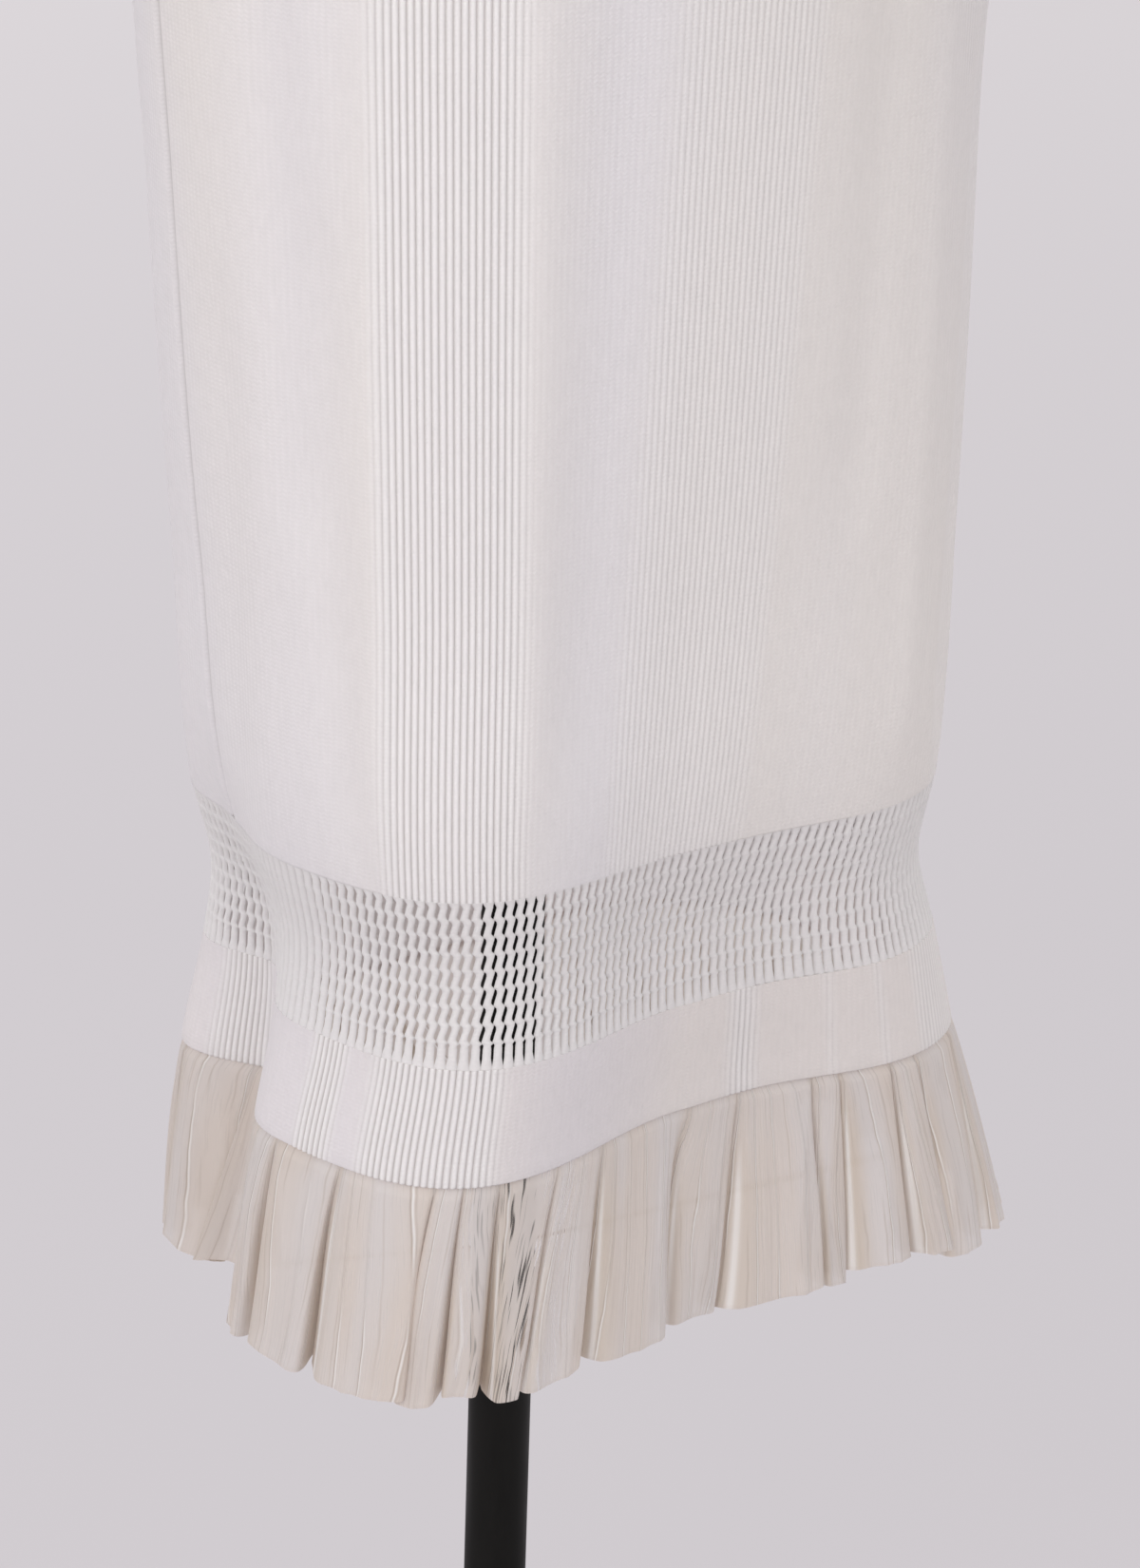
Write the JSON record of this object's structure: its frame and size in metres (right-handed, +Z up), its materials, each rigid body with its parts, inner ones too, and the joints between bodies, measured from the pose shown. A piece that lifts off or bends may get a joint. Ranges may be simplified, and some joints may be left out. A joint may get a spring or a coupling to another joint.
{
  "type": "straight skirt on a limbless dress form with a pole stand",
  "caption": "Straight midi skirt in fine white rib knit with an openwork band and a sheer fluted frill, worn on a limbless skirt form on a round pole and base.",
  "frame": {"origin": "centre of the base's flat underside, on the pole's axis, on the floor", "axes": "+Z up along the pole; the skirt's front faces -Y; the wearer's left is +X"},
  "size_m": [0.372, 0.3, 1.062],
  "materials": {
    "rib_knit": "fine off-white rib knit, matt with a soft sheen",
    "openwork_knit": "off-white openwork knit of slanting eyelets, matt",
    "frill_chiffon": "sheer pale beige chiffon, crinkle pleated",
    "form_cover": "plain smooth linen cover",
    "stand_paint": "satin black paint"
  },
  "bodies": {
    "root": {"waistband": "rib_knit", "front_body": "rib_knit", "back_body": "rib_knit", "front_openwork": "openwork_knit", "back_openwork": "openwork_knit", "front_hem_band": "rib_knit", "back_hem_band": "rib_knit", "front_frill": "frill_chiffon", "back_frill": "frill_chiffon", "skirt_form": "form_cover", "pole": "stand_paint", "base": "stand_paint"}
  },
  "joints": []
}
